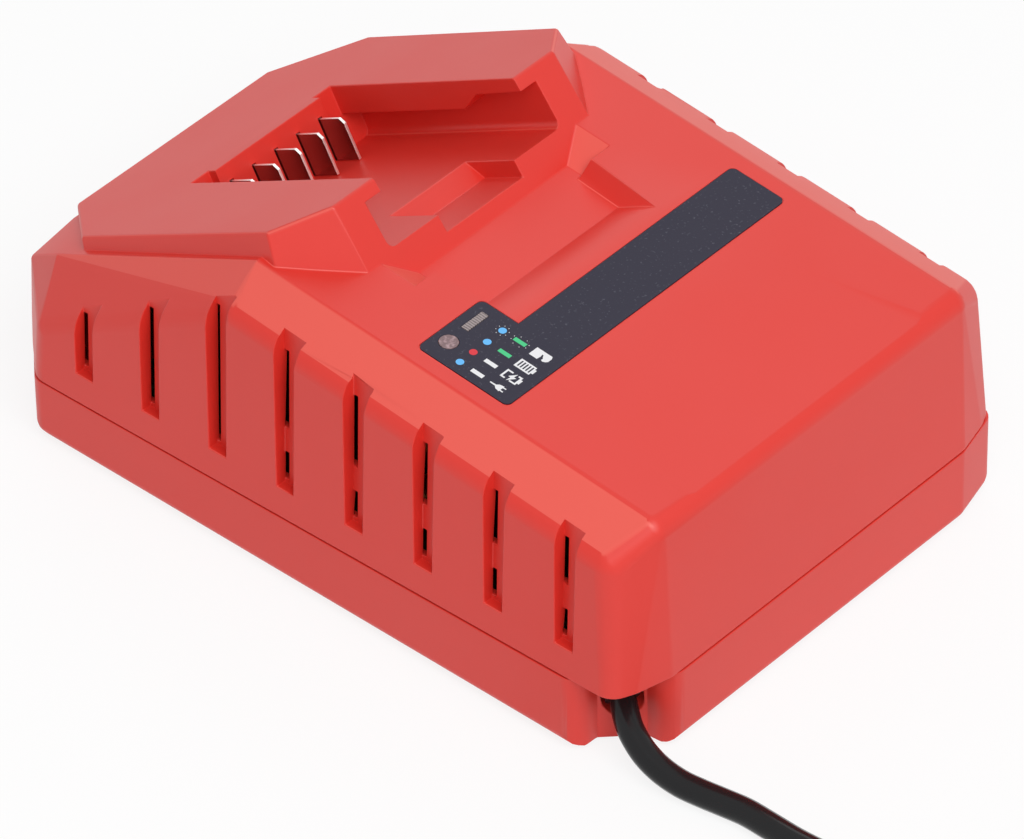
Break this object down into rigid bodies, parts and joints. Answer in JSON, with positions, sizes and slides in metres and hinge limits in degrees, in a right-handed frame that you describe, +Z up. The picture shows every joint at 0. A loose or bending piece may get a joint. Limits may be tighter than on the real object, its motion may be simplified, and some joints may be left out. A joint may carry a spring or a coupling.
{
  "type": "power tool battery charger",
  "caption": "Bench charger with a sloping slide-in battery dock, contact blades, status panel, vented sides and a mains lead with a flat plug.",
  "frame": {"origin": "on the supporting surface, midway between the side walls and midway between the front and rear walls", "axes": "+Z up, -Y the front edge with the status panel, +Y the rear, +X the right-hand side seen from the front; the battery slides down the dock towards +Y"},
  "size_m": [0.134, 0.4549, 0.0893],
  "materials": {
    "red_shell": "satin moulded, fine grain",
    "panel_film": "matt dark grey printed film",
    "window_lens": "clear smoky light guide",
    "contact_metal": "tin-plated sheet, bright edges",
    "black_plastic": "matt",
    "lead_insulation": "satin",
    "circuit_board": "solder mask",
    "zinc_steel": "zinc-plated",
    "white_plastic": "clear lamp body",
    "ferrite": "dull sintered",
    "winding_tape": "polyester tape",
    "copper": "enamelled copper",
    "capacitor_sleeve": "shrunk sleeve",
    "amber_plastic": "moulded box",
    "fuse_glass": "ceramic tube",
    "aluminium": "extruded",
    "green_plastic": "moulded",
    "wire_insulation": "satin",
    "cord_rubber": "semi-gloss flexible PVC",
    "foot_rubber": "matt",
    "plated_brass": "nickel-plated"
  },
  "bodies": {
    "root": {"upper_housing": "red_shell", "lower_housing": "red_shell", "label_overlay": "panel_film", "status_window_bar": "window_lens", "status_window_round": "window_lens", "contact_blades": "contact_metal", "contact_carrier": "black_plastic", "contact_leads": "lead_insulation", "main_board": "circuit_board", "board_screws": "zinc_steel", "display_board": "circuit_board", "display_screws": "zinc_steel", "status_leds": "white_plastic", "transformer_core": "ferrite", "transformer_winding": "winding_tape", "line_choke": "copper", "bulk_capacitor": "capacitor_sleeve", "filter_capacitor": "amber_plastic", "output_capacitors": "capacitor_sleeve", "bridge_rectifier": "black_plastic", "line_fuse": "fuse_glass", "heat_sink": "aluminium", "power_transistors": "black_plastic", "control_chips": "black_plastic", "mains_terminal": "green_plastic", "inlet_wires": "wire_insulation", "strain_relief": "cord_rubber", "housing_screws": "zinc_steel", "rubber_feet": "foot_rubber", "mains_cord": "cord_rubber", "cord_coil": "cord_rubber", "plug_lead": "cord_rubber", "cord_tie": "black_plastic", "plug_relief": "cord_rubber", "plug_body": "cord_rubber", "plug_pins": "plated_brass"}
  },
  "joints": []
}
